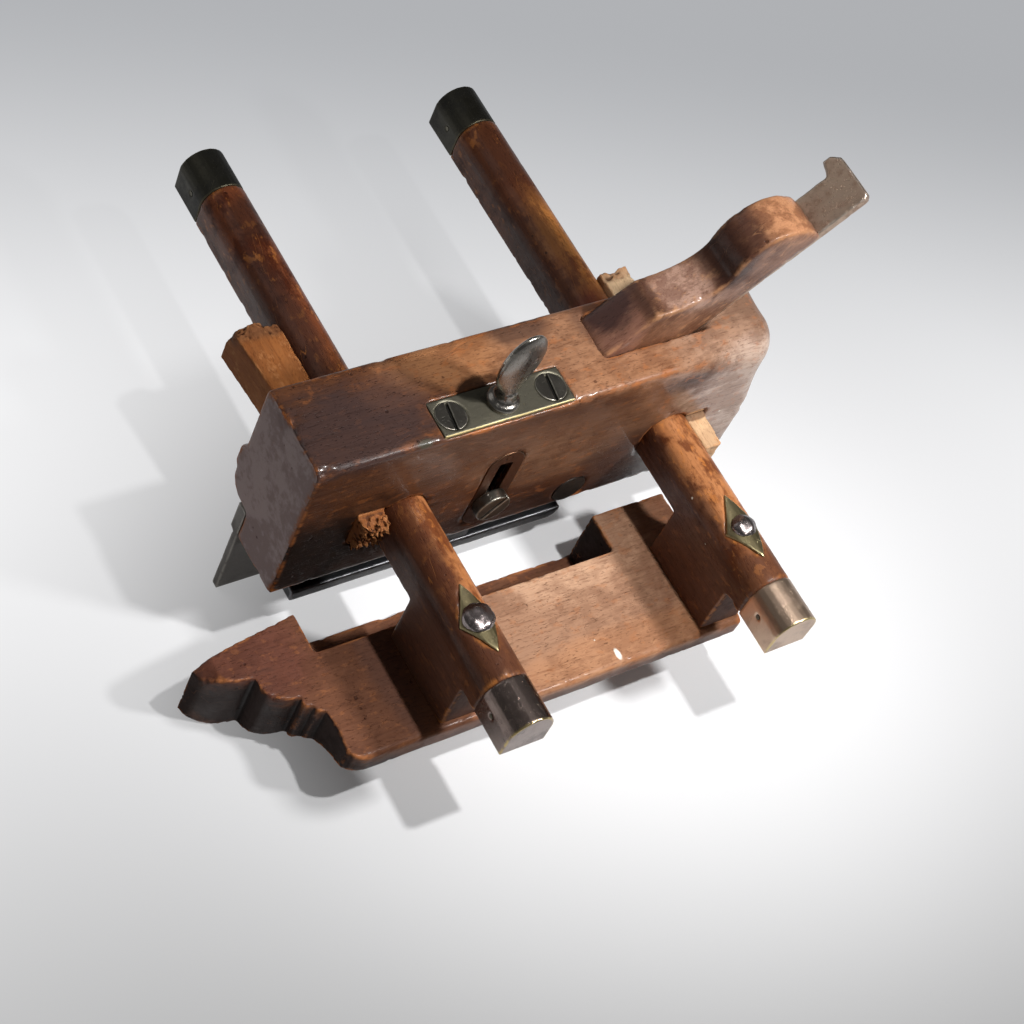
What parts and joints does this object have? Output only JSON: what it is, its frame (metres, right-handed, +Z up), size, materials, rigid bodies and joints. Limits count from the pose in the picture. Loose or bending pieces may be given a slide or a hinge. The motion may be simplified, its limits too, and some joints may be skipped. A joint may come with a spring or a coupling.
{
  "type": "plough plane",
  "caption": "Wooden plough plane: moulded fence on wedged brass-tipped stems, iron skate, snecked iron held by a wedge, thumbscrew depth stop.",
  "frame": {"origin": "on the running edge of the rear skate, at half the length of the stock and half the thickness of the skate", "axes": "+X from toe to heel, +Y away from the fence, +Z up from the running edge"},
  "size_m": [0.251, 0.2545, 0.1632],
  "materials": {
    "aged_wood": "dark reddish-brown close-grained wood, waxed by handling",
    "stem_wood": "reddish-brown wood, mottled, satin",
    "fence_wood": "tan to red-brown wood, worn",
    "wedge_wood": "grey-brown wood with lighter worn edges",
    "fresh_wood": "fresh light wood, ragged ends",
    "dark_brass": "tarnished brass, almost black in places",
    "clean_brass": "yellow-green brass, rubbed",
    "skate_iron": "brown-grey iron",
    "black_iron": "blackened iron",
    "old_steel": "pitted grey-brown steel",
    "dark_bronze": "dark polished bronze with bright edges"
  },
  "bodies": {
    "stock_body": {"stock": "aged_wood", "front_skate": "skate_iron", "rear_skate": "skate_iron", "skate_rivets": "skate_iron", "skate_disc": "skate_iron", "top_plate": "dark_brass", "top_plate_screws": "old_steel", "side_plate": "dark_brass", "side_plate_pins": "dark_brass"},
    "fence_body": {"fence": "fence_wood", "toe_stem": "stem_wood", "heel_stem": "stem_wood", "toe_near_ferrule": "dark_brass", "toe_far_ferrule": "dark_brass", "heel_near_ferrule": "dark_brass", "heel_far_ferrule": "dark_brass", "ferrule_pins": "clean_brass", "toe_rove": "clean_brass", "heel_rove": "clean_brass", "fence_rivets": "old_steel", "rivet_burrs": "old_steel"},
    "toe_wedge_body": {"toe_stem_wedge": "fresh_wood"},
    "heel_wedge_body": {"heel_stem_wedge": "fresh_wood"},
    "iron_wedge_body": {"iron_wedge": "wedge_wood"},
    "iron_body": {"plough_iron": "old_steel"},
    "depth_stop": {"stop_shoe": "black_iron", "stop_bar": "black_iron"},
    "thumbscrew_body": {"thumbscrew": "dark_bronze"},
    "lock_screw_body": {"stop_lock_screw": "old_steel"}
  },
  "joints": [
    {"name": "fence_slide", "type": "slide", "parent": "stock_body", "child": "fence_body", "axis": [0, 1, 0], "range_m": [-0.1, 0.0265]},
    {"name": "toe_wedge_slide", "type": "slide", "parent": "stock_body", "child": "toe_wedge_body", "axis": [0, 1, 0], "range_m": [0, 0.03]},
    {"name": "heel_wedge_slide", "type": "slide", "parent": "stock_body", "child": "heel_wedge_body", "axis": [0, 1, 0], "range_m": [0, 0.03]},
    {"name": "iron_wedge_slide", "type": "slide", "parent": "stock_body", "child": "iron_wedge_body", "axis": [0.6691, 0, 0.7431], "range_m": [0, 0.06]},
    {"name": "iron_slide", "type": "slide", "parent": "stock_body", "child": "iron_body", "axis": [0.6691, 0, 0.7431], "range_m": [-0.0015, 0.06]},
    {"name": "depth_stop_slide", "type": "slide", "parent": "stock_body", "child": "depth_stop", "axis": [0, 0, 1], "range_m": [-0.006, 0.014]},
    {"name": "thumbscrew_turn", "type": "hinge", "parent": "stock_body", "child": "thumbscrew_body", "pos_m": [-0.0243, -0.0182, 0.1071], "axis": [0, 0, 1], "range_deg": [-2524, 1084]},
    {"name": "lock_screw_turn", "type": "hinge", "parent": "depth_stop", "child": "lock_screw_body", "pos_m": [-0.0159, -0.0264, 0.0545], "axis": [0, -1, 0], "range_deg": [0, 350]}
  ],
  "couplings": [
    {"joint": "thumbscrew_turn", "follows": "depth_stop_slide", "rad_per_m": -3141.6}
  ]
}
